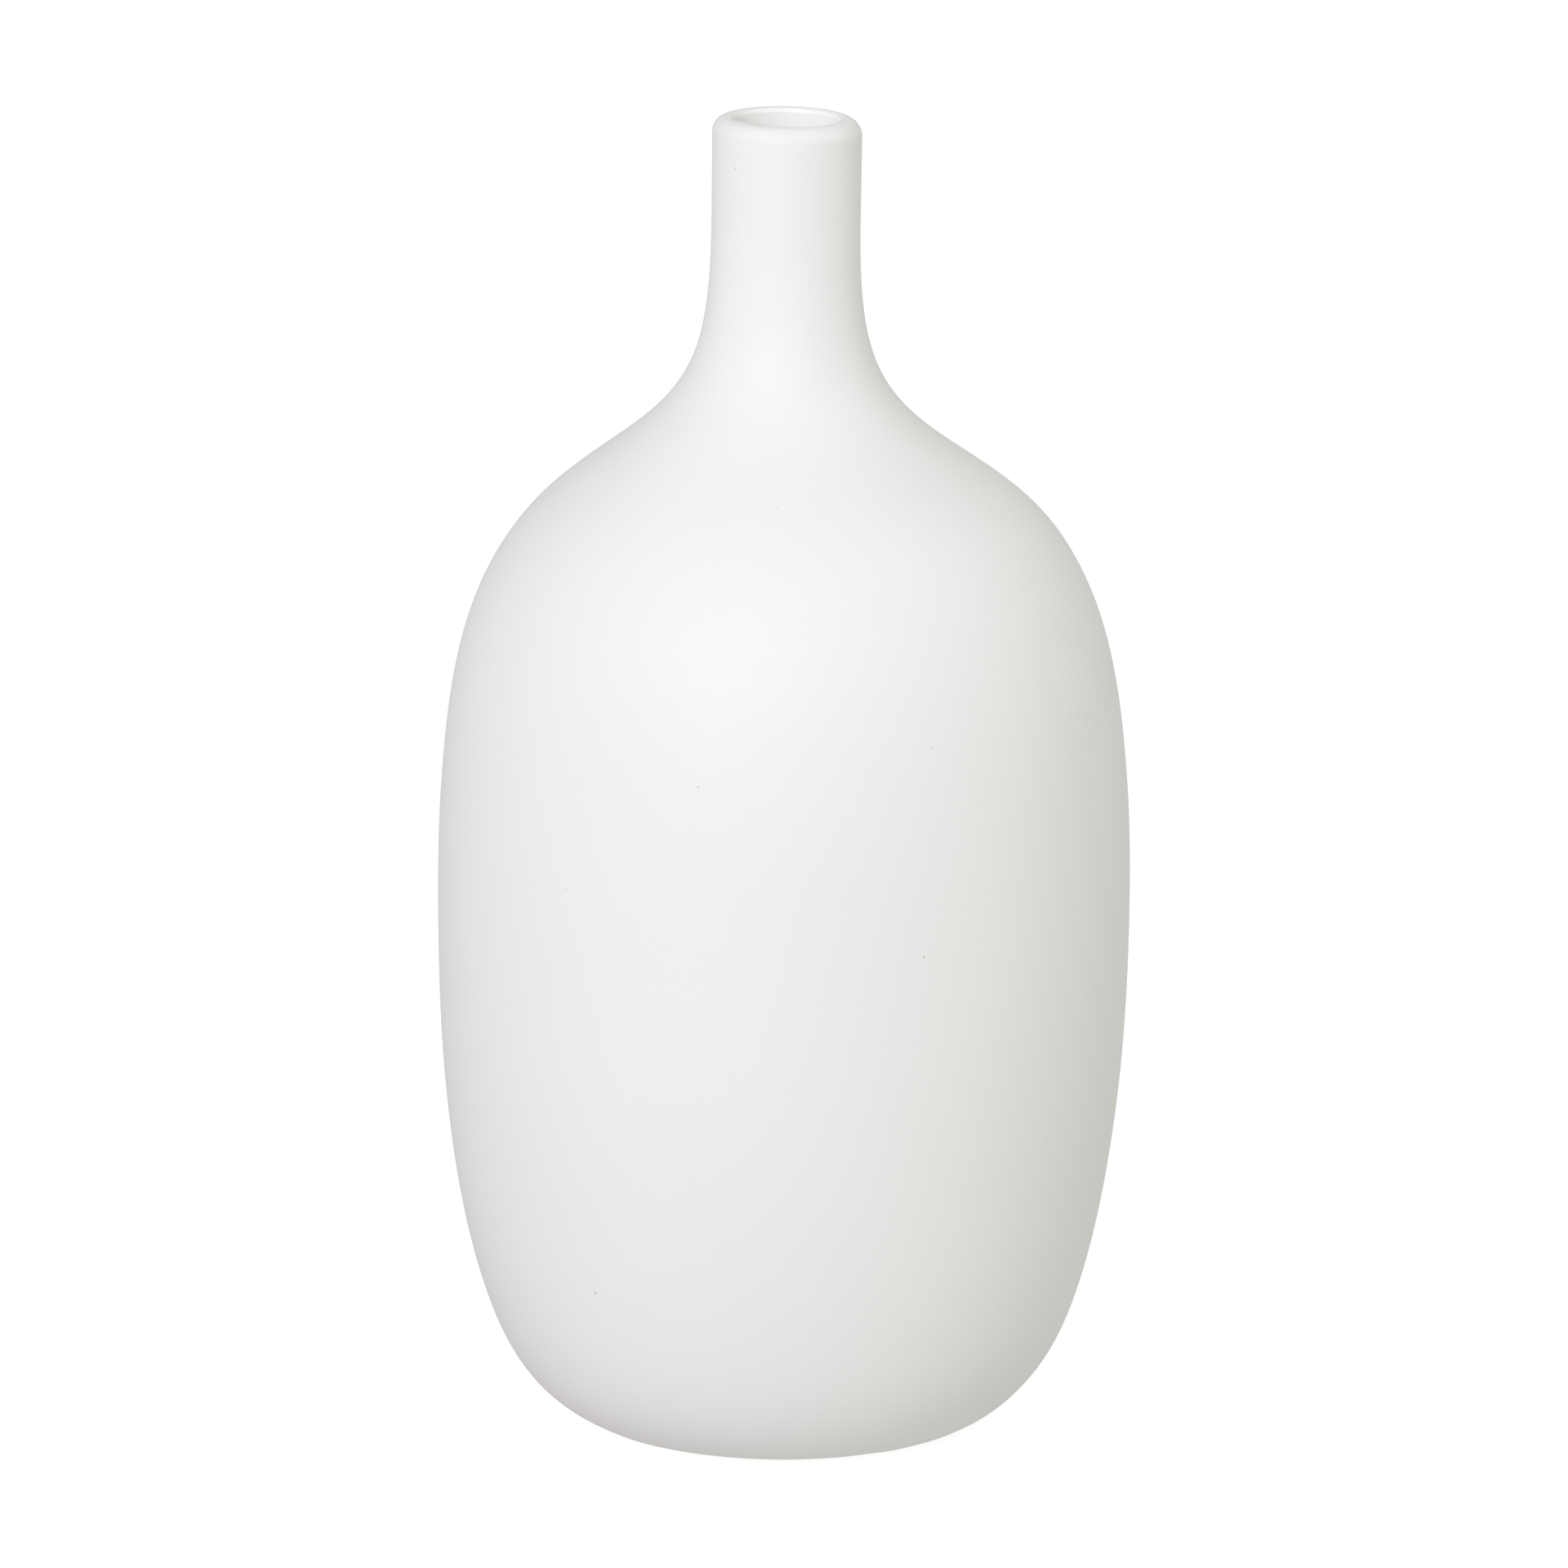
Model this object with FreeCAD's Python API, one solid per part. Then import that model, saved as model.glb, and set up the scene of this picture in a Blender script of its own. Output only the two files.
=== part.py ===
"""A bottle-shaped ceramic bud vase: a slip-cast clay body, with a matte glaze outside and a gloss
glaze inside. Millimetres, +Z up, the origin on the table at the centre of the foot.

Every part is turned about Z. Its section is drawn in the XZ plane, where x is the radius.
"""

import FreeCAD
import Part
import os

Vector = FreeCAD.Vector

# --- driving dimensions ---------------------------------------------------------------------------
HEIGHT = 210.0  # table to the top of the lip
BELLY_RADIUS = 55.0  # widest, a little under half way up
NECK_RADIUS = 11.75  # outside, just below the lip
BORE_RADIUS = 8.4  # mouth, glaze to glaze
GLAZE = 0.3  # thickness of either glaze coat

# Clay and both glazes together. The wall thins towards the neck.
NECK_WALL = NECK_RADIUS - BORE_RADIUS
BELLY_WALL = 4.4

# Foot: a ring of bare clay round a shallow recess.
FOOT_RING_WIDTH = 5.6
FOOT_RECESS_DEPTH = 2.0
HEEL_ROUND = 2.0  # where the outside meets the foot
RECESS_EDGE_ROUND = 0.7
RECESS_CORNER_ROUND = 1.2
GLAZE_LINE_HEIGHT = 0.9  # the matte glaze is wiped off below this

# Inside: a flat floor, a cast wall, and a straight bore under the lip.
FLOOR_HEIGHT = 6.6
FLOOR_FLAT_RADIUS = 22.0
WALL_FROM = 10.0  # between these heights of the outside, the inside follows it
WALL_TO = 177.0
BORE_BOTTOM = 186.0

# The lip has a soft outer corner, a narrow flat top and a tighter inner edge.
LIP_OUTER_ROUND = 2.2
LIP_INNER_ROUND = 0.7
NECK_TOP = HEIGHT - LIP_OUTER_ROUND
BORE_TOP = HEIGHT - LIP_INNER_ROUND

# Outside of the vase as (height, radius), from the heel up to where the lip starts. The heel runs on
# a little below the table, and is cut off there by the foot.
OUTSIDE = (
    (-0.8, 28.3),
    (3.0, 35.8),  # heel
    (10.0, 42.4),
    (22.0, 47.75),
    (42.0, 52.2),
    (79.0, BELLY_RADIUS),
    (112.0, 53.75),
    (134.0, 48.7),  # shoulder
    (147.0, 40.55),
    (157.0, 28.15),
    (165.0, 18.55),  # root of the neck
    (171.0, 14.7),
    (180.0, 12.4),
    (193.0, 11.7),
    (NECK_TOP, NECK_RADIUS),
)
HEEL_DIRECTION = Vector(2.6, 0, 1).normalize()  # how the heel leaves the foot
LEVEL = Vector(1, 0, 0)
UPRIGHT = Vector(0, 0, 1)
SECTION_NORMAL = Vector(0, 1, 0)

OFFSET_STATIONS = 48  # points that carry a curve over to its offset
FULL_TURN = 360


def at(radius, height):
    """A point of the section."""
    return Vector(radius, 0, height)


# --- curves of the section ------------------------------------------------------------------------
def smooth_curve(points, start_direction, end_direction):
    """The curve through the points, with unit directions at its ends."""
    curve = Part.BSplineCurve()
    curve.interpolate(
        Points=points, InitialTangent=start_direction, FinalTangent=end_direction, Scale=False
    )
    return curve


def parameter_at(curve, height):
    """Where a curve that rises all the way passes a height."""
    low, high = curve.FirstParameter, curve.LastParameter
    halvings = 60
    for _ in range(halvings):
        middle = (low + high) / 2
        if curve.value(middle).z < height:
            low = middle
        else:
            high = middle
    return (low + high) / 2


def inward_normal(curve, parameter):
    """Unit normal of a rising curve, on the side of the vase's axis."""
    along = curve.tangent(parameter)[0]
    return along.cross(SECTION_NORMAL).normalize()


def evenly(first, last):
    """Evenly spaced parameters, both ends included."""
    return [first + (last - first) * i / OFFSET_STATIONS for i in range(OFFSET_STATIONS + 1)]


def offset_curve(curve, distance):
    """The curve moved sideways by a distance, towards the axis if it is positive."""
    first, last = curve.FirstParameter, curve.LastParameter
    points = []
    for parameter in evenly(first, last):
        points.append(curve.value(parameter) + inward_normal(curve, parameter) * distance)
    return smooth_curve(points, curve.tangent(first)[0], curve.tangent(last)[0])


def outside_curve():
    """The visible outside, heel to lip."""
    points = [at(radius, height) for height, radius in OUTSIDE]
    return smooth_curve(points, HEEL_DIRECTION, UPRIGHT)


def inside_curve(outside):
    """The visible inside, from the edge of the flat floor to the bottom of the bore."""
    points = [at(FLOOR_FLAT_RADIUS, FLOOR_HEIGHT)]
    for parameter in evenly(parameter_at(outside, WALL_FROM), parameter_at(outside, WALL_TO)):
        surface = outside.value(parameter)
        share = (surface.x - NECK_RADIUS) / (BELLY_RADIUS - NECK_RADIUS)
        wall = NECK_WALL + (BELLY_WALL - NECK_WALL) * share
        points.append(surface + inward_normal(outside, parameter) * wall)
    points.append(at(BORE_RADIUS, BORE_BOTTOM))
    return smooth_curve(points, LEVEL, UPRIGHT)


def line(start, end):
    return Part.LineSegment(start, end).toShape()


def quarter_round(centre, side):
    """The quarter circle from a point level with its centre to the point above the centre."""
    above = UPRIGHT * side.Length
    halfway = (side + above).normalize() * side.Length
    return Part.Arc(centre + side, centre + halfway, centre + above).toShape()


def lip(depth):
    """The edges over the lip, from the outside of the neck to the bore, at a depth in the glaze."""
    outer_round = LIP_OUTER_ROUND - depth
    inner_round = LIP_INNER_ROUND - depth
    outer_centre = at(NECK_RADIUS - LIP_OUTER_ROUND, NECK_TOP)
    inner_centre = at(BORE_RADIUS + LIP_INNER_ROUND, BORE_TOP)
    return [
        quarter_round(outer_centre, LEVEL * outer_round),
        line(outer_centre + UPRIGHT * outer_round, inner_centre + UPRIGHT * inner_round),
        quarter_round(inner_centre, -LEVEL * inner_round),
    ]


# --- solids ---------------------------------------------------------------------------------------
def turned(edges):
    """The solid made by turning a closed section about Z."""
    wire = Part.Wire(Part.__sortEdges__(edges))
    return Part.Face(wire).revolve(Vector(0, 0, 0), UPRIGHT, FULL_TURN)


def rounded(solid, edge_radius, edge_height, round_radius):
    """The solid with the circular edge of that radius and height rounded off."""
    tolerance = 1e-3
    edges = []
    for edge in solid.Edges:
        if not isinstance(edge.Curve, Part.Circle):
            continue
        radius_error = abs(edge.Curve.Radius - edge_radius)
        height_error = abs(edge.Curve.Center.z - edge_height)
        if max(radius_error, height_error) < tolerance:
            edges.append(edge)
    return solid.makeFillet(round_radius, edges)


def outer_matte_glaze(outside, clay_outside):
    """The coat from the glaze line at the foot, up the outside and over the lip to the bore."""
    glaze_foot = parameter_at(outside, GLAZE_LINE_HEIGHT)
    clay_foot = clay_outside.parameter(outside.value(glaze_foot))
    return turned([
        outside.toShape(glaze_foot, outside.LastParameter),
        *lip(0),
        line(at(BORE_RADIUS, BORE_TOP), at(BORE_RADIUS + GLAZE, BORE_TOP)),
        *lip(GLAZE),
        clay_outside.toShape(clay_foot, clay_outside.LastParameter),
        line(clay_outside.value(clay_foot), outside.value(glaze_foot)),
    ])


def inner_gloss_glaze(inside, clay_inside):
    """The lining that holds the water, from the middle of the floor to the top of the bore."""
    clay_bore_radius = BORE_RADIUS + GLAZE
    clay_floor_height = FLOOR_HEIGHT - GLAZE
    return turned([
        line(at(0, FLOOR_HEIGHT), at(FLOOR_FLAT_RADIUS, FLOOR_HEIGHT)),
        inside.toShape(),
        line(at(BORE_RADIUS, BORE_BOTTOM), at(BORE_RADIUS, BORE_TOP)),
        line(at(BORE_RADIUS, BORE_TOP), at(clay_bore_radius, BORE_TOP)),
        line(at(clay_bore_radius, BORE_TOP), at(clay_bore_radius, BORE_BOTTOM)),
        clay_inside.toShape(),
        line(at(FLOOR_FLAT_RADIUS, clay_floor_height), at(0, clay_floor_height)),
        line(at(0, clay_floor_height), at(0, FLOOR_HEIGHT)),
    ])


def clay_body(clay_outside, clay_inside):
    """The fired clay between the two glazes, with the bare foot ring under it."""
    foot = parameter_at(clay_outside, 0)
    foot_radius = clay_outside.value(foot).x
    recess_radius = foot_radius - FOOT_RING_WIDTH
    clay_bore_radius = BORE_RADIUS + GLAZE
    clay_floor_height = FLOOR_HEIGHT - GLAZE
    body = turned([
        clay_outside.toShape(foot, clay_outside.LastParameter),
        *lip(GLAZE),
        line(at(clay_bore_radius, BORE_TOP), at(clay_bore_radius, BORE_BOTTOM)),
        clay_inside.toShape(),
        line(at(FLOOR_FLAT_RADIUS, clay_floor_height), at(0, clay_floor_height)),
        line(at(0, clay_floor_height), at(0, FOOT_RECESS_DEPTH)),
        line(at(0, FOOT_RECESS_DEPTH), at(recess_radius, FOOT_RECESS_DEPTH)),
        line(at(recess_radius, FOOT_RECESS_DEPTH), at(recess_radius, 0)),
        line(at(recess_radius, 0), at(foot_radius, 0)),
    ])
    body = rounded(body, foot_radius, 0, HEEL_ROUND)
    body = rounded(body, recess_radius, 0, RECESS_EDGE_ROUND)
    return rounded(body, recess_radius, FOOT_RECESS_DEPTH, RECESS_CORNER_ROUND)


def main():
    outside = outside_curve()
    clay_outside = offset_curve(outside, GLAZE)
    inside = inside_curve(outside)
    clay_inside = offset_curve(inside, -GLAZE)
    parts = {
        "clay_body": clay_body(clay_outside, clay_inside),
        "outer_matte_glaze": outer_matte_glaze(outside, clay_outside),
        "inner_gloss_glaze": inner_gloss_glaze(inside, clay_inside),
    }
    os.makedirs("parts", exist_ok=True)
    for name, solid in parts.items():
        solid.exportStep(f"parts/{name}.step")
        box = solid.BoundBox
        print(
            f"{name}: valid {solid.isValid()}, {solid.Volume / 1000:.1f} cm3,"
            f" z {box.ZMin:.2f} to {box.ZMax:.2f}, radius {box.XMax:.2f}"
        )


main()
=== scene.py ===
"""Looks of a ceramic bud vase, built round its CAD frame. Metres, +Z up, the foot on z = 0.

The vase has three turned layers: the clay, a matte glaze outside it and a gloss glaze inside it. Each
CAD node's section is read back from the frame and turned again as a finer mesh. All three layers are
then moved by one field, the small faults of fired ware, so they stay in touch with each other.
"""

import math
import random

import bmesh
import bpy
import numpy as np
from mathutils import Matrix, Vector, noise


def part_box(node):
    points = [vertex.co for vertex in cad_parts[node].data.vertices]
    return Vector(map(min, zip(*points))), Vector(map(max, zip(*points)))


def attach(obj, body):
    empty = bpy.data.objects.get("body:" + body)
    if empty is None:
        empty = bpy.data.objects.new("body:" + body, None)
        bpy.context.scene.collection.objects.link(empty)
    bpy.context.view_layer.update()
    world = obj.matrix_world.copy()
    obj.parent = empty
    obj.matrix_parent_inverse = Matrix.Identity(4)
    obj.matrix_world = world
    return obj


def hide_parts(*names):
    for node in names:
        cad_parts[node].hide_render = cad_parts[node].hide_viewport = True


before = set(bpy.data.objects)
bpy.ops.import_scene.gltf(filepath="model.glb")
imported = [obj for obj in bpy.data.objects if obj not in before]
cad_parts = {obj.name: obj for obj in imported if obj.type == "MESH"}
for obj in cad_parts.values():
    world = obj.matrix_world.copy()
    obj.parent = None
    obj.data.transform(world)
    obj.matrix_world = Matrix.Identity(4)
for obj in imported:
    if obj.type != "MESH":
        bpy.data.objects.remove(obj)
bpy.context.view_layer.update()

MM = 0.001
OUTER, INNER, CLAY = "outer_matte_glaze", "inner_gloss_glaze", "clay_body"

# --- sizes from the frame -------------------------------------------------------------------------
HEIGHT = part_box(OUTER)[1].z
BELLY_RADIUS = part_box(OUTER)[1].x
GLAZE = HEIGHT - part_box(CLAY)[1].z  # thickness of a coat
BORE_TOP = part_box(INNER)[1].z
GLOSS_REACH = 0.25 * MM  # out from the bore, how far the gloss glaze has run on to the lip
LIP_DEPTH = 4 * MM  # the neck is at its full width this far below the top

# --- fineness of the meshes -----------------------------------------------------------------------
COLUMNS = 288  # round the vase
SHOWN_STEP = 1.3 * MM  # between rows that are seen
FINE_STEP = 0.3 * MM  # over the lip and the bare foot
HIDDEN_STEP = 2.6 * MM  # where two layers touch
SAME_POINT = 1e-7  # points closer than this are one point
SHARP_ANGLE = math.radians(50)  # edges bent by more than this are shaded as edges
STRAIGHT_RATIO = 3  # a step this many times as long as its neighbour is a straight line

# --- faults of fired ware -------------------------------------------------------------------------
# (share of the height, how far the axis has moved to the right)
SHIFT = (
    (0.0, 0.0),
    (0.035, -0.40 * MM),
    (0.17, -0.42 * MM),
    (0.29, -0.22 * MM),
    (0.42, 0.0),
    (0.79, 0.0),
    (0.84, 0.10 * MM),
    (0.88, 0.21 * MM),
    (0.95, 0.40 * MM),
    (1.0, 0.52 * MM),
)
# (share of the height, how far that level tips down to the right, in radians)
TILT = (
    (0.0, 0.0),
    (0.68, 0.0),
    (0.725, 0.0095),
    (0.765, 0.022),
    (0.80, 0.0245),
    (0.84, 0.019),
    (1.0, 0.0186),
)
# (share of the height, how far that level tips down to the front, in radians)
NOD = (
    (0.0, 0.0),
    (0.9, 0.0),
    (0.97, 0.0155),
    (1.0, 0.0155),
)
FREE_HEIGHT = 12 * MM  # below this the foot keeps more and more of its true shape
OUT_OF_ROUND = 0.0015  # share of the radius
LOBES = 2  # round an oval
TWIST = 5.0  # how far the oval turns from foot to lip, in radians
SWELL = 0.05 * MM  # slow unevenness of the surface
SWELL_LENGTH = 24 * MM

# A thick place in the glaze on the inside of the lip, at the front left.
BURR = 0.48 * MM
BURR_AZIMUTH = math.radians(222)
BURR_HALF_WIDTH = math.radians(30)
BURR_DROP = 2.4 * MM
BURR_REACH = 2.2 * MM  # into the wall

# The outer corner of the lip is rounded off more on the right.
SOFT_DROP = 0.5 * MM
SOFT_AZIMUTH = math.radians(-10)
SOFT_REACH = 6 * MM  # below the top of the lip

# The edge of the matte glaze at the foot was wiped by hand, so it wanders.
WIPE = 0.5 * MM
WIPE_LENGTH = 12 * MM
WIPE_FADE = 4 * MM
EDGE_POINTS = 5  # round the rolled edge of the glaze

# Shallow rings that the turning tool left in the recess under the foot.
RING_DEPTH = 0.05 * MM
RINGS = 13
BARE_TOP = 2 * MM  # the clay is under glaze above this, wherever the edge wanders

# Pinholes in the matte glaze, as (share of the height, azimuth in degrees, radius). The front is at
# -90 degrees.
PINHOLES = (
    (0.963, -134, 0.13 * MM),
    (0.73, -93, 0.12 * MM),
    (0.565, -65, 0.10 * MM),
    (0.54, -105, 0.12 * MM),
    (0.45, -129, 0.12 * MM),
    (0.41, -68, 0.17 * MM),
    (0.25, -130, 0.12 * MM),
    (0.25, -40, 0.12 * MM),
    (0.17, -58, 0.12 * MM),
    (0.14, -127, 0.22 * MM),
)
# Pinholes behind are drawn at random between these limits.
BACK_PINHOLES = 16
BACK_PINHOLE_SHARE = (0.08, 0.72)
BACK_PINHOLE_DEGREES = (5, 175)
BACK_PINHOLE_RADIUS = (0.10 * MM, 0.20 * MM)
draw = random.Random(7)  # seeded, so every run draws the same
PINHOLE_DEPTH = GLAZE / 2
PINHOLE_SIDES = 8  # two for each corner of the grid face it is in
# (share of the radius, share of the depth, darkness of the painted shade) of the rings of points down
# a pinhole
PINHOLE_RINGS = ((1.0, 0.0, 0.0), (0.85, 0.4, 0.7), (0.45, 0.9, 1.0))

# --- surfaces -------------------------------------------------------------------------------------
# Every surface has patterns of noise. A length is about the size of a pattern's patches, and a relief
# is how deep the pattern goes.
CLOUDY_LOW = 0.3  # most of the noise lies between these two values
CLOUDY_HIGH = 0.7
SOFT_DETAIL = 2.0  # octaves of the noise, from soft to fine
BROKEN_DETAIL = 3.0
FINE_DETAIL = 4.0

MATTE_GREYS = (0.812, 0.826)  # of the mottling
MATTE_GRAIN_GREY = 0.80
MATTE_GRAIN_SHARE = 0.35  # how much of the grain's grey shows at most
MATTE_MOTTLE_LENGTH = 38 * MM
MATTE_PATCH_LENGTH = 7 * MM
MATTE_GRAIN_LENGTH = 0.9 * MM
MATTE_DUST_LENGTH = 0.3 * MM
MATTE_PATCH_RELIEF = 0.04 * MM
MATTE_GRAIN_RELIEF = 0.012 * MM
MATTE_DUST_RELIEF = 0.005 * MM
MATTE_ROUGHNESS = (0.50, 0.56)
MATTE_GRAIN_ROUGHNESS = (-0.02, 0.02)  # more or less than that, from grain to grain
MATTE_SPECULAR = 0.35
# Painted shade in the pinholes: this colour darkens the glaze more and more towards the bottom of
# each pit.
PIT_SHADE_COLOUR = (0.378, 0.36, 0.324, 1)
PIT_SHADE_SHARE = 0.75  # how much of the painted shade's colour shows at the bottom of a pinhole

GLOSS_WHITE = 0.97
GLOSS_THIN_COLOUR = (0.9447, 0.94, 0.9259, 1)  # where the clay shows through a little
GLOSS_MOTTLE_LENGTH = 20 * MM
GLOSS_WAVE_LENGTH = 5 * MM
GLOSS_PEEL_LENGTH = 1.2 * MM
GLOSS_WAVE_RELIEF = 0.08 * MM
GLOSS_PEEL_RELIEF = 0.01 * MM
GLOSS_ROUGHNESS = (0.10, 0.17)
GLOSS_EDGE_ROUGHNESS = 0.16  # on the lip, where it has run over the matte glaze

CLAY_COLOURS = ((0.64, 0.57, 0.47, 1), (0.73, 0.67, 0.58, 1))  # of the mottling
CLAY_GRIT_COLOUR = (0.56, 0.49, 0.40, 1)
CLAY_GRIT_SHARE = 0.5
CLAY_MOTTLE_LENGTH = 12 * MM
CLAY_GRIT_LENGTH = 0.5 * MM
CLAY_GRIT_RELIEF = 0.05 * MM
CLAY_ROUGHNESS = (0.82, 0.95)
CLAY_SPECULAR = 0.3
TURNING_MARK_WIDTH = 0.8 * MM
TURNING_MARK_RELIEF = 0.02 * MM
SPECK_COLOUR = (0.24, 0.17, 0.11, 1)
SPECK_SHARE = 0.8
SPECK_SPACING = 2.6 * MM
SPECK_EDGE = (0.06, 0.13)  # a speck fades out between these shares of the spacing
RUBBED_COLOUR = (0.48, 0.43, 0.37, 1)
RUBBED_SHARE = 0.55
RUBBED_PATCHES = (0.3, 1)  # the rubbing is weaker in some patches than in others
RUBBED_HEIGHT = 0.3 * MM

# --- stage, light and camera ----------------------------------------------------------------------
STAGE_RADIUS = 6.0
STAGE_SEGMENTS = 96
FLOOR_GLOW = 0.85
FLOOR_ALBEDO = 0.3
BACKDROP_GLOW = 1.0
BACKDROP_ALBEDO = 0.0
# Light from the room: a little pink on the left, and a little green on the right.
ROOM_LEFT = (0.602, 0.566, 0.574, 1)
ROOM_RIGHT = (0.555, 0.567, 0.516, 1)
LIGHT_DISTANCE = 1.6
LIGHT_SIZE = 0.9
# (name, azimuth and elevation in degrees, power, colour)
LIGHTS = (
    ("key", -112, 28, 13.5, (0.975, 1.0, 1.03)),
    ("fill", 0, 50, 3.8, (1.02, 1.0, 1.04)),
    ("bounce_right", -30, -35, 2.3, (1.03, 1.0, 1.01)),
    ("bounce_left", -150, -35, 1.4, (1.02, 1.0, 1.02)),
)
CAMERA_PLACE = Vector((0, -7.905 * HEIGHT, 2.323 * HEIGHT))
CAMERA_AIM = Vector((0, 0, 0.49 * HEIGHT))
CAMERA_LENS = 246.5  # millimetres, as is the sensor
CAMERA_SENSOR = 36.0


# --- curves ---------------------------------------------------------------------------------------
def smooth_through(stations, where):
    """Values of a smooth curve through (place, value...) stations, at the places asked for.

    A step much longer than its neighbour is taken to be straight.
    """
    stations = np.array(stations, float)
    place, value = stations[:, 0], stations[:, 1:]
    step = np.diff(place)[:, None]
    slope = np.diff(value, axis=0) / step
    before, after = step[:-1], step[1:]
    middle = (slope[:-1] * after + slope[1:] * before) / (before + after)
    middle = np.where(before > STRAIGHT_RATIO * after, slope[:-1], middle)
    middle = np.where(after > STRAIGHT_RATIO * before, slope[1:], middle)
    tangent = np.vstack([slope[:1], middle, slope[-1:]])
    where = np.clip(where, place[0], place[-1])
    i = np.clip(np.searchsorted(place, where, side="right") - 1, 0, len(step) - 1)
    h = step[i]
    t = (where[:, None] - place[i][:, None]) / h
    return (
        (1 + 2 * t) * (1 - t) ** 2 * value[i]
        + t * (1 - t) ** 2 * h * tangent[i]
        + t**2 * (3 - 2 * t) * value[i + 1]
        - t**2 * (1 - t) * h * tangent[i + 1]
    )


def resampled(points, step):
    """A smooth stretch of section with rows about a step apart. Its two ends stay."""
    lengths = np.linalg.norm(np.diff(points, axis=0), axis=1)
    along = np.concatenate([[0], np.cumsum(lengths)])
    rows = max(2, round(along[-1] / step) + 1)
    return smooth_through(np.column_stack([along, points]), np.linspace(0, along[-1], rows))


def hump(distance):
    """1 at no distance, and falling smoothly to 0 at a distance of 1 either way."""
    return np.clip(1 - distance**2, 0, 1) ** 2


def eased(share):
    """A share from 0 to 1, with a soft start and a soft end."""
    return share**2 * (3 - 2 * share)


def joined(*stretches):
    """Stretches of a section put end to end, each starting where the one before ends."""
    return np.vstack([stretches[0]] + [stretch[1:] for stretch in stretches[1:]])


# --- sections of the CAD nodes --------------------------------------------------------------------
def section(node):
    """The outline of a turned CAD node as rows of (radius, height), in order from its lowest point.

    It is read from the node's seam, the vertices in the plane y = 0 where x is the radius. An outline
    that ends on flat discs is carried on to the axis.
    """
    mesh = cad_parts[node].data
    seam = {}
    for vertex in mesh.vertices:
        if abs(vertex.co.y) < SAME_POINT and vertex.co.x > -SAME_POINT:
            seam[vertex.index] = (round(vertex.co.x / SAME_POINT), round(vertex.co.z / SAME_POINT))
    beside = {point: set() for point in seam.values()}
    for edge in mesh.edges:
        ends = [seam.get(index) for index in edge.vertices]
        if None not in ends and ends[0] != ends[1]:
            beside[ends[0]].add(ends[1])
            beside[ends[1]].add(ends[0])
    disc_edges = [point for point, others in beside.items() if len(others) == 1]
    outline = [min(disc_edges or beside, key=lambda point: (point[1], point[0]))]
    while len(outline) < len(beside):
        ahead = [point for point in beside[outline[-1]] if point not in outline[-2:]]
        outline.append(max(ahead))  # from its lowest point, a ring is followed outwards
    if disc_edges:
        outline = [(0, outline[0][1]), *outline, (0, outline[-1][1])]
    return np.array(outline, float) * SAME_POINT


def nearest_row(outline, radius, height):
    """The row of an outline that is nearest to a point."""
    return int(np.argmin(np.hypot(outline[:, 0] - radius, outline[:, 1] - height)))


OUTER_OUTLINE, INNER_OUTLINE, CLAY_OUTLINE = section(OUTER), section(INNER), section(CLAY)
AT_BORE_TOP = np.isclose(INNER_OUTLINE[:, 1], BORE_TOP)
BORE_RADIUS = INNER_OUTLINE[AT_BORE_TOP, 0].min()
AT_TOP = np.isclose(OUTER_OUTLINE[:, 1], HEIGHT)
LIP_OUTER_RADIUS = OUTER_OUTLINE[AT_TOP, 0].max()  # where the flat top of the lip ends
BESIDE_LIP = OUTER_OUTLINE[:, 1] > HEIGHT - LIP_DEPTH
NECK_RADIUS = OUTER_OUTLINE[BESIDE_LIP, 0].max()
NECK_TOP = HEIGHT - (NECK_RADIUS - LIP_OUTER_RADIUS)  # the lip's outer corner is a quarter circle


# --- fired shape ----------------------------------------------------------------------------------
def noise_round(azimuth, z, length):
    """Slow noise from -1 to 1, the same for all layers at one azimuth and height."""
    around = np.column_stack([BELLY_RADIUS * np.cos(azimuth), BELLY_RADIUS * np.sin(azimuth), z])
    return np.array([noise.noise(Vector(place) / length) for place in around])


def burr(azimuth, radius, z):
    """How far the thick place in the lip's glaze stands into the mouth."""
    turn = (azimuth - BURR_AZIMUTH + math.pi) % (2 * math.pi) - math.pi
    round_the_lip = hump(turn / BURR_HALF_WIDTH)
    down_the_bore = hump((z - BORE_TOP) / BURR_DROP)
    into_the_wall = np.clip(1 - (radius - BORE_RADIUS) / BURR_REACH, 0, 1)
    return BURR * round_the_lip * down_the_bore * into_the_wall


def soft_corner(azimuth, radius, z):
    """How far the outer corner of the lip is rounded down on its soft side."""
    side = ((1 + np.cos(azimuth - SOFT_AZIMUTH)) / 2) ** 2
    out = np.clip((radius - LIP_OUTER_RADIUS) / (NECK_RADIUS - LIP_OUTER_RADIUS), 0, 1)
    up = np.clip(1 - (HEIGHT - z) / SOFT_REACH, 0, 1)
    return SOFT_DROP * side * out * eased(up)


def fired(points):
    """The points moved as firing has moved the ware. Layers that touch are moved alike."""
    x, y, z = points.T
    radius = np.hypot(x, y)
    azimuth = np.arctan2(y, x)
    share = np.clip(z / HEIGHT, 0, 1)
    free = np.clip(z / FREE_HEIGHT, 0, 1)
    oval = OUT_OF_ROUND * radius * np.cos(LOBES * azimuth + TWIST * share)
    swell = SWELL * noise_round(azimuth, z, SWELL_LENGTH) * np.clip(radius / BORE_RADIUS, 0, 1)
    outward = (oval + swell) * free - burr(azimuth, radius, z)
    shift = smooth_through(SHIFT, share)[:, 0]
    tilt = smooth_through(TILT, share)[:, 0]
    nod = smooth_through(NOD, share)[:, 0]
    return np.column_stack([
        x + outward * np.cos(azimuth) + shift,
        y + outward * np.sin(azimuth),
        z - tilt * x + nod * y - soft_corner(azimuth, radius, z),
    ])


# --- turned meshes --------------------------------------------------------------------------------
def linked(name, data):
    """A new object in the scene."""
    made = bpy.data.objects.new(name, data)
    bpy.context.scene.collection.objects.link(made)
    return made


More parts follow.
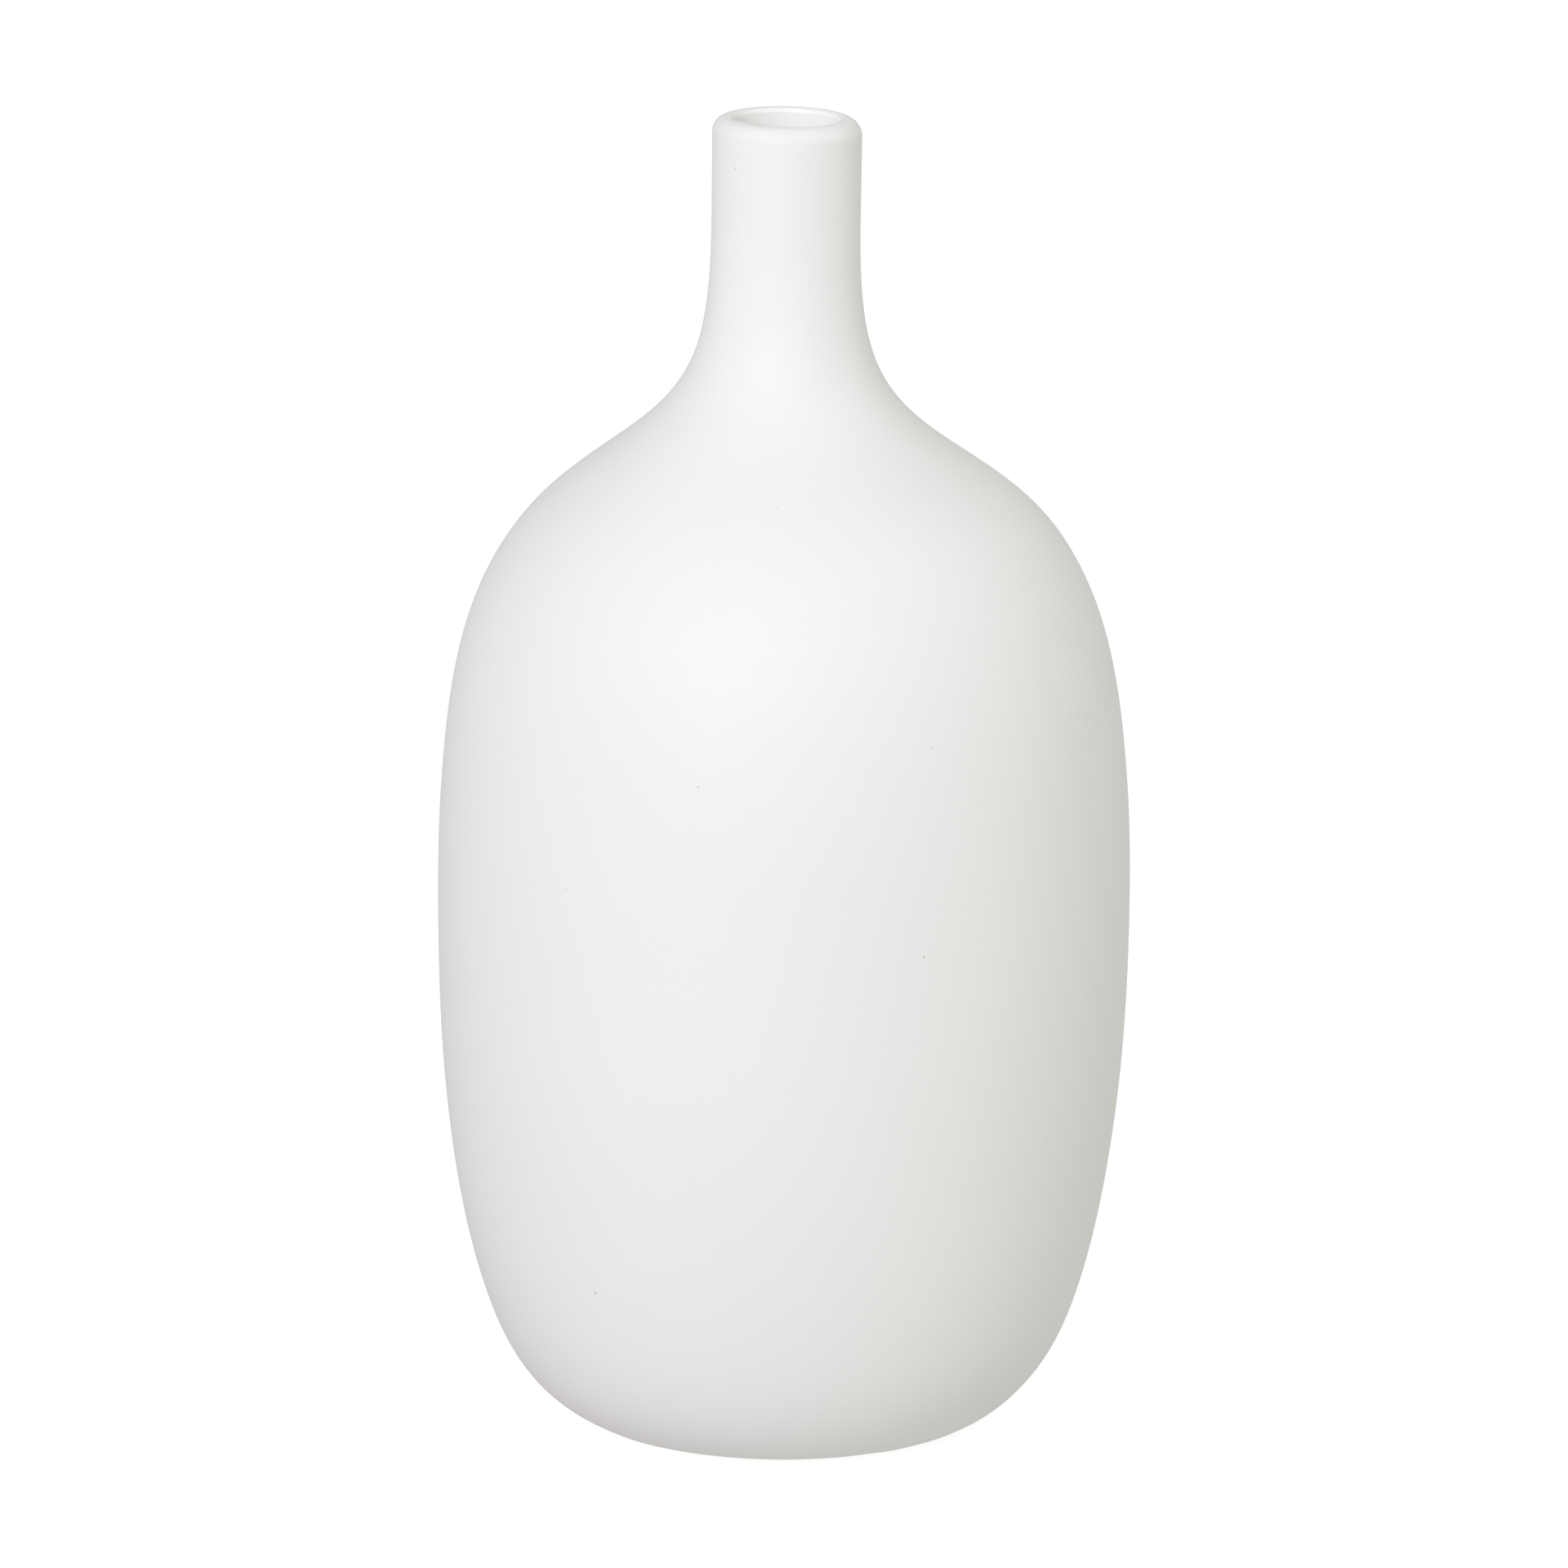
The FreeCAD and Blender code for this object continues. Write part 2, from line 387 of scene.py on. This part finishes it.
def write_on_points(mesh, name, values):
    """Stores a value for each point of a mesh, under a name that a material can read."""
    mesh.attributes.new(name, "FLOAT", "POINT").data.foreach_set("value", values)


class TurnedMesh:
    """A mesh turned from an outline: a ring if it is closed, or else running from axis to axis.

    moves has an offset of (radius, height) for every row and column.
    """

    def __init__(self, outline, closed, moves=None):
        self.outline = outline
        self.points = []
        self.faces = {}
        self.pit_shade = {}  # how much painted shade darkens the glaze at a point in a pinhole, from 0 to 1
        grid = np.repeat(outline[:, None, :], COLUMNS, axis=1)
        if moves is not None:
            grid = grid + moves
        azimuth = np.arange(COLUMNS) * 2 * math.pi / COLUMNS
        rows = [self.add_row(row, azimuth) for row in grid]
        following = rows[1:] + rows[:1] if closed else rows[1:]
        for row, (lower, upper) in enumerate(zip(rows, following)):
            for column in range(COLUMNS):
                after = (column + 1) % COLUMNS
                corners = (lower[column], lower[after], upper[after], upper[column])
                self.faces[row, column] = [tuple(dict.fromkeys(corners))]

    def add_row(self, row, azimuth):
        """Adds the points of one row, or one point if it is on the axis."""
        start = len(self.points)
        radius, height = row.T
        if radius.max() < SAME_POINT:
            self.points.append((0.0, 0.0, height[0]))
            return [start] * COLUMNS
        self.points.extend(zip(radius * np.cos(azimuth), radius * np.sin(azimuth), height))
        return list(range(start, start + COLUMNS))

    def add_pinhole(self, share, azimuth, radius):
        """Opens a small round pit in the face of the outside at that share of the height."""
        top = int(np.argmax(self.outline[:, 1]))
        row = int(np.searchsorted(self.outline[:top, 1], share * HEIGHT))
        column = int(azimuth / (2 * math.pi) * COLUMNS) % COLUMNS
        corners = self.faces[row, column][0]
        places = np.array([self.points[corner] for corner in corners])
        along, up = places[1] - places[0], places[3] - places[0]
        outward = np.cross(along, up)
        outward /= np.linalg.norm(outward)
        along /= np.linalg.norm(along)
        across = np.cross(outward, along)
        rings = []
        # each ring carries painted shade, darker the deeper it lies in the pit
        for share_out, share_down, pit_shade in PINHOLE_RINGS:
            centre = places.mean(axis=0) - share_down * PINHOLE_DEPTH * outward
            ring = []
            for side in range(PINHOLE_SIDES):
                turn = math.pi + side * 2 * math.pi / PINHOLE_SIDES
                reach = math.cos(turn) * along + math.sin(turn) * across
                ring.append(self.add_point(centre + radius * share_out * reach, pit_shade))
            rings.append(ring)
        bottom = self.add_point(places.mean(axis=0) - PINHOLE_DEPTH * outward, 1.0)
        self.faces[row, column] = rim_faces(corners, rings[0]) + pit_faces(rings, bottom)

    def add_point(self, place, pit_shade):
        """Adds one point of a pinhole, with how much painted shade it carries."""
        self.points.append(tuple(place))
        self.pit_shade[len(self.points) - 1] = pit_shade
        return len(self.points) - 1

    def piece(self, name, material):
        """The fired mesh as an object."""
        mesh = bpy.data.meshes.new(name)
        faces = [face for group in self.faces.values() for face in group]
        mesh.from_pydata(fired(np.array(self.points)).tolist(), [], faces)
        mesh.shade_smooth()
        mesh.set_sharp_from_angle(angle=SHARP_ANGLE)
        mesh.materials.append(material)
        return linked(name, mesh)


def rim_faces(corners, ring):
    """The faces between the four corners of a grid face and the mouth of a pinhole in it.

    The ring starts half way up the side between the last corner and the first.
    """
    faces = []
    sides = PINHOLE_SIDES // len(corners)  # nearest to each corner
    for corner, point in enumerate(corners):
        following = corners[(corner + 1) % len(corners)]
        arc = [ring[(sides * corner + step) % PINHOLE_SIDES] for step in range(sides + 1)]
        faces.append((point, *reversed(arc)))
        faces.append((point, following, arc[-1]))
    return faces


def pit_faces(rings, bottom):
    """The faces down a pinhole, from its mouth to the point at its bottom."""
    faces = []
    for side in range(PINHOLE_SIDES):
        after = (side + 1) % PINHOLE_SIDES
        for ring, inside in zip(rings, rings[1:]):
            faces.append((ring[side], ring[after], inside[after], inside[side]))
        faces.append((rings[-1][side], rings[-1][after], bottom))
    return faces


# --- the three layers -----------------------------------------------------------------------------
def outer_glaze(outline, material):
    """The matte coat, with a rolled and wandering edge at the foot, and pinholes.

    Its points carry the painted shade in the pinholes, and how near they are to the gloss lining.
    """
    neck = nearest_row(outline, NECK_RADIUS, NECK_TOP)
    bore = nearest_row(outline, BORE_RADIUS, BORE_TOP)
    outside = resampled(outline[: neck + 1], SHOWN_STEP)
    lip = resampled(outline[neck : bore + 1], FINE_STEP)
    against_clay = resampled(outline[bore + 1 :], HIDDEN_STEP)
    down = outside[0] - outside[1]
    down /= np.linalg.norm(down)
    middle = (against_clay[-1] + outside[0]) / 2
    inward = against_clay[-1] - middle
    turns = np.linspace(0, math.pi, EDGE_POINTS + 2)[1:-1, None]
    edge = middle + inward * np.cos(turns) + down * GLAZE / 2 * np.sin(turns)
    rows = np.vstack([joined(outside, lip), against_clay, edge])
    azimuth = np.arange(COLUMNS) * 2 * math.pi / COLUMNS
    wander = WIPE * noise_round(azimuth, np.zeros(COLUMNS), WIPE_LENGTH)
    fade = np.exp(-((np.linalg.norm(rows - middle, axis=1) / WIPE_FADE) ** 2))
    turned = TurnedMesh(rows, True, fade[:, None, None] * wander[None, :, None] * down)
    for share, degrees, radius in PINHOLES:
        turned.add_pinhole(share, math.radians(degrees), radius)
    for _ in range(BACK_PINHOLES):
        share = draw.uniform(*BACK_PINHOLE_SHARE)
        degrees = draw.uniform(*BACK_PINHOLE_DEGREES)
        turned.add_pinhole(share, math.radians(degrees), draw.uniform(*BACK_PINHOLE_RADIUS))
    coat = turned.piece("matte_glaze_coat", material)
    # painted shade: 0 outside the pinholes, darkest at their bottoms
    pit_shade = [turned.pit_shade.get(point, 0.0) for point in range(len(turned.points))]
    gloss = [1 - (math.hypot(x, y) - BORE_RADIUS) / GLOSS_REACH for x, y, _ in turned.points]
    write_on_points(coat.data, "pit_shade", pit_shade)
    write_on_points(coat.data, "gloss", gloss)
    return coat


def inner_glaze(outline, material):
    """The gloss lining, from the middle of its floor to the top of the bore."""
    clay_floor = 1  # the first two rows are the flat underside, and the last two the flat top
    clay_bore = nearest_row(outline, BORE_RADIUS + GLAZE, BORE_TOP)
    bore = nearest_row(outline, BORE_RADIUS, BORE_TOP)
    floor = len(outline) - 2
    rows = joined(
        resampled(outline[: clay_floor + 1], HIDDEN_STEP),
        resampled(outline[clay_floor : clay_bore + 1], HIDDEN_STEP),
        outline[clay_bore : bore + 1],
        resampled(outline[bore : floor + 1], SHOWN_STEP),
        resampled(outline[floor:], SHOWN_STEP),
    )
    return TurnedMesh(rows, False).piece("gloss_glaze_lining", material)


def clay(outline, material):
    """The fired clay, with fine rows and turning rings where it is bare under the foot."""
    recess_radius, recess_height = outline[1]  # the first two rows are the flat of the recess
    ground = int(np.argmin(outline[:, 1]))
    bare_end = next(row for row in range(ground, len(outline)) if outline[row, 1] > BARE_TOP)
    floor = len(outline) - 2  # the last two rows are the flat floor
    bare = resampled(outline[: bare_end + 1], FINE_STEP)
    in_recess = np.isclose(bare[:, 1], recess_height)
    turns = bare[in_recess, 0] / recess_radius * RINGS
    bare[in_recess, 1] -= RING_DEPTH * np.sin(math.pi * turns) ** 2
    rows = joined(
        bare,
        resampled(outline[bare_end : floor + 1], HIDDEN_STEP),
        resampled(outline[floor:], HIDDEN_STEP),
    )
    return TurnedMesh(rows, False).piece("clay_body_fired", material)


# --- materials ------------------------------------------------------------------------------------
def new_material(name):
    """A node material: itself, its node tree and its shader."""
    material = bpy.data.materials.new(name)
    material.use_nodes = True
    return material, material.node_tree, material.node_tree.nodes["Principled BSDF"]


def add(tree, kind, inputs, **settings):
    """A new shader node. Each of its inputs is a value, or the output of another node."""
    made = tree.nodes.new("ShaderNode" + kind)
    for name, value in settings.items():
        setattr(made, name, value)
    fill(tree, made, inputs)
    return made


def fill(tree, made, inputs):
    """Gives each input of a node its value, or links it to the output of another node."""
    for name, value in inputs.items():
        if isinstance(value, bpy.types.NodeSocket):
            tree.links.new(value, made.inputs[name])
        else:
            made.inputs[name].default_value = value


def place_on(tree):
    """The place on the object, in its own coordinates."""
    return add(tree, "TexCoord", {}).outputs["Object"]


def cloudy(tree, place, length, detail=SOFT_DETAIL):
    """Noise in patches of about that length."""
    inputs = {"Vector": place, "Scale": 1 / length, "Detail": detail}
    return add(tree, "TexNoise", inputs).outputs["Fac"]


def ranged(tree, value, start, end, low=CLOUDY_LOW, high=CLOUDY_HIGH):
    """A value from low to high, turned into one from start to end. It goes no further than these."""
    inputs = {"Value": value, "From Min": low, "From Max": high, "To Min": start, "To Max": end}
    return add(tree, "MapRange", inputs).outputs["Result"]


def math_of(tree, operation, first, second=0.0):
    """The result of an operation on one or two values."""
    return add(tree, "Math", {0: first, 1: second}, operation=operation).outputs["Value"]


def blended(tree, share, start, end):
    """A colour that goes from start to end as share goes from 0 to 1."""
    made = add(tree, "Mix", {}, data_type="RGBA")
    share_socket, start_socket, end_socket, colour_output = 0, 6, 7, 2  # their names aren't unique
    fill(tree, made, {share_socket: share, start_socket: start, end_socket: end})
    return made.outputs[colour_output]


def bump(tree, height, size, under=None):
    """A bump normal for a height from 0 to 1 that stands for a relief of that size."""
    inputs = {"Height": height, "Distance": size}
    if under is not None:
        inputs["Normal"] = under
    return add(tree, "Bump", inputs).outputs["Normal"]


def grey(level):
    """A colour with red, green and blue at the same level."""
    return (level, level, level, 1.0)


def written(tree, name):
    """The values written on the points of the mesh under a name."""
    return add(tree, "Attribute", {}, attribute_name=name).outputs["Fac"]


def radius_on(tree, place):
    """The distance from the vase's axis."""
    level = add(tree, "VectorMath", {0: place, 1: (1, 1, 0)}, operation="MULTIPLY")
    length = add(tree, "VectorMath", {0: level.outputs["Vector"]}, operation="LENGTH")
    return length.outputs["Value"]


def matte_white_glaze():
    """A dry satin white, softly mottled, with a fine grain and painted shade in its pinholes.

    The gloss lining has run up over the inner side of the lip.
    """
    material, tree, shader = new_material("matte_white_glaze")
    place = place_on(tree)
    mottle = cloudy(tree, place, MATTE_MOTTLE_LENGTH, BROKEN_DETAIL)
    patches = cloudy(tree, place, MATTE_PATCH_LENGTH)
    grain = cloudy(tree, place, MATTE_GRAIN_LENGTH)
    dust = cloudy(tree, place, MATTE_DUST_LENGTH)
    darker, lighter = MATTE_GREYS
    colour = blended(tree, ranged(tree, mottle, 0, 1), grey(darker), grey(lighter))
    colour = blended(tree, ranged(tree, grain, 0, MATTE_GRAIN_SHARE), colour, grey(MATTE_GRAIN_GREY))
    # painted shade in the pinholes, darkest at their bottoms
    pit_shade = math_of(tree, "MULTIPLY", written(tree, "pit_shade"), PIT_SHADE_SHARE)
    colour = blended(tree, pit_shade, colour, PIT_SHADE_COLOUR)
    in_patches = ranged(tree, patches, *MATTE_ROUGHNESS)
    in_grains = ranged(tree, grain, *MATTE_GRAIN_ROUGHNESS)
    roughness = math_of(tree, "ADD", in_patches, in_grains)
    lining = ranged(tree, written(tree, "gloss"), 0, 1, 0, 1)
    relief = bump(tree, patches, MATTE_PATCH_RELIEF)
    relief = bump(tree, grain, MATTE_GRAIN_RELIEF, relief)
    relief = bump(tree, dust, MATTE_DUST_RELIEF, relief)
    fill(tree, shader, {
        "Base Color": blended(tree, lining, colour, grey(GLOSS_WHITE)),
        "Roughness": ranged(tree, lining, roughness, GLOSS_EDGE_ROUGHNESS, 0, 1),
        "Normal": relief,
        "Specular IOR Level": MATTE_SPECULAR,
    })
    return material


def gloss_white_glaze():
    """A wet-looking white lining with the slow waves of a poured glaze."""
    material, tree, shader = new_material("gloss_white_glaze")
    place = place_on(tree)
    mottle = cloudy(tree, place, GLOSS_MOTTLE_LENGTH)
    waves = cloudy(tree, place, GLOSS_WAVE_LENGTH)
    peel = cloudy(tree, place, GLOSS_PEEL_LENGTH)
    fill(tree, shader, {
        "Base Color": blended(tree, ranged(tree, mottle, 0, 1), GLOSS_THIN_COLOUR, grey(GLOSS_WHITE)),
        "Roughness": ranged(tree, waves, *GLOSS_ROUGHNESS),
        "Normal": bump(tree, peel, GLOSS_PEEL_RELIEF, bump(tree, waves, GLOSS_WAVE_RELIEF)),
    })
    return material


def bare_clay():
    """Unglazed stoneware: warm, dry and speckled, with turning marks, and rubbed where it stands."""
    material, tree, shader = new_material("bare_clay")
    place = place_on(tree)
    z = add(tree, "SeparateXYZ", {"Vector": place}).outputs["Z"]
    radius = radius_on(tree, place)
    mottle = cloudy(tree, place, CLAY_MOTTLE_LENGTH, FINE_DETAIL)
    grit = cloudy(tree, place, CLAY_GRIT_LENGTH, BROKEN_DETAIL)
    wave = math_of(tree, "MULTIPLY", radius, 2 * math.pi / TURNING_MARK_WIDTH)
    turning_marks = math_of(tree, "SINE", wave)
    cells = add(tree, "TexVoronoi", {"Vector": place, "Scale": 1 / SPECK_SPACING})
    specks = ranged(tree, cells.outputs["Distance"], SPECK_SHARE, 0, *SPECK_EDGE)
    near_table = ranged(tree, z, RUBBED_SHARE, 0, 0, RUBBED_HEIGHT)
    rubbed = math_of(tree, "MULTIPLY", near_table, ranged(tree, mottle, *RUBBED_PATCHES))
    colour = blended(tree, ranged(tree, mottle, 0, 1), *CLAY_COLOURS)
    colour = blended(tree, ranged(tree, grit, 0, CLAY_GRIT_SHARE), colour, CLAY_GRIT_COLOUR)
    colour = blended(tree, specks, colour, SPECK_COLOUR)
    colour = blended(tree, rubbed, colour, RUBBED_COLOUR)
    relief = bump(tree, grit, CLAY_GRIT_RELIEF)
    fill(tree, shader, {
        "Base Color": colour,
        "Roughness": ranged(tree, grit, *CLAY_ROUGHNESS),
        "Normal": bump(tree, turning_marks, TURNING_MARK_RELIEF, relief),
        "Specular IOR Level": CLAY_SPECULAR,
    })
    return material


# --- stage, light and camera ----------------------------------------------------------------------
def glowing(name, level, albedo):
    """A pale surface that also glows a little, so that it stays plain."""
    material, tree, shader = new_material(name)
    fill(tree, shader, {
        "Base Color": grey(albedo),
        "Roughness": 1.0,
        "Specular IOR Level": 0.0,
        "Emission Color": grey(1.0),
        "Emission Strength": level,
    })
    return material


def stage_piece(name, mesh_maker, material):
    """A piece of the stage, seen by the camera but not by the vase."""
    shape = bmesh.new()
    mesh_maker(shape)
    mesh = bpy.data.meshes.new(name)
    shape.to_mesh(mesh)
    shape.free()
    mesh.materials.append(material)
    made = linked(name, mesh)
    made.visible_diffuse = False
    made.visible_glossy = False
    made.visible_shadow = False


def round_floor(shape):
    """A disc that the vase stands on."""
    bmesh.ops.create_circle(shape, cap_ends=True, segments=STAGE_SEGMENTS, radius=STAGE_RADIUS)


def backdrop(shape):
    """A ball round the whole stage."""
    across, down = STAGE_SEGMENTS // 2, STAGE_SEGMENTS // 4
    bmesh.ops.create_uvsphere(shape, u_segments=across, v_segments=down, radius=STAGE_RADIUS)


def surround():
    """Soft light from all round."""
    world = bpy.data.worlds.new("surround")
    world.use_nodes = True
    bpy.context.scene.world = world
    tree = world.node_tree
    place = add(tree, "TexCoord", {}).outputs["Generated"]
    across = add(tree, "SeparateXYZ", {"Vector": place}).outputs["X"]
    colour = blended(tree, ranged(tree, across, 0, 1, -1, 1), ROOM_LEFT, ROOM_RIGHT)
    fill(tree, tree.nodes["Background"], {"Color": colour})


def soft_light(name, azimuth, elevation, power, colour):
    """A round soft box that faces the middle of the vase."""
    light = bpy.data.lights.new(name, "AREA")
    light.shape = "DISK"
    light.size = LIGHT_SIZE
    light.energy = power
    light.color = colour
    made = linked(name, light)
    azimuth, elevation = math.radians(azimuth), math.radians(elevation)
    towards = Vector((
        math.cos(elevation) * math.cos(azimuth),
        math.cos(elevation) * math.sin(azimuth),
        math.sin(elevation),
    ))
    made.location = Vector((0, 0, HEIGHT / 2)) + towards * LIGHT_DISTANCE
    made.rotation_euler = towards.to_track_quat("Z", "Y").to_euler()


def camera():
    """A long lens in front, looking down at the vase by about 13 degrees."""
    lens = bpy.data.cameras.new("camera")
    lens.lens = CAMERA_LENS
    lens.sensor_width = CAMERA_SENSOR
    lens.clip_end = 2 * STAGE_RADIUS + CAMERA_PLACE.length
    made = linked("camera", lens)
    made.location = CAMERA_PLACE
    made.rotation_euler = (CAMERA_AIM - CAMERA_PLACE).to_track_quat("-Z", "Y").to_euler()
    bpy.context.scene.camera = made


# --- the vase on its stage ------------------------------------------------------------------------
def stand_for(piece, node):
    """Puts a piece in the place of a CAD node."""
    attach(piece, "root")
    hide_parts(node)


stand_for(outer_glaze(OUTER_OUTLINE, matte_white_glaze()), OUTER)
stand_for(inner_glaze(INNER_OUTLINE, gloss_white_glaze()), INNER)
stand_for(clay(CLAY_OUTLINE, bare_clay()), CLAY)

stage_piece("floor", round_floor, glowing("floor_paper", FLOOR_GLOW, FLOOR_ALBEDO))
stage_piece("backdrop", backdrop, glowing("backdrop_paper", BACKDROP_GLOW, BACKDROP_ALBEDO))
surround()
for light in LIGHTS:
    soft_light(*light)
camera()
bpy.context.scene.view_settings.view_transform = "Standard"
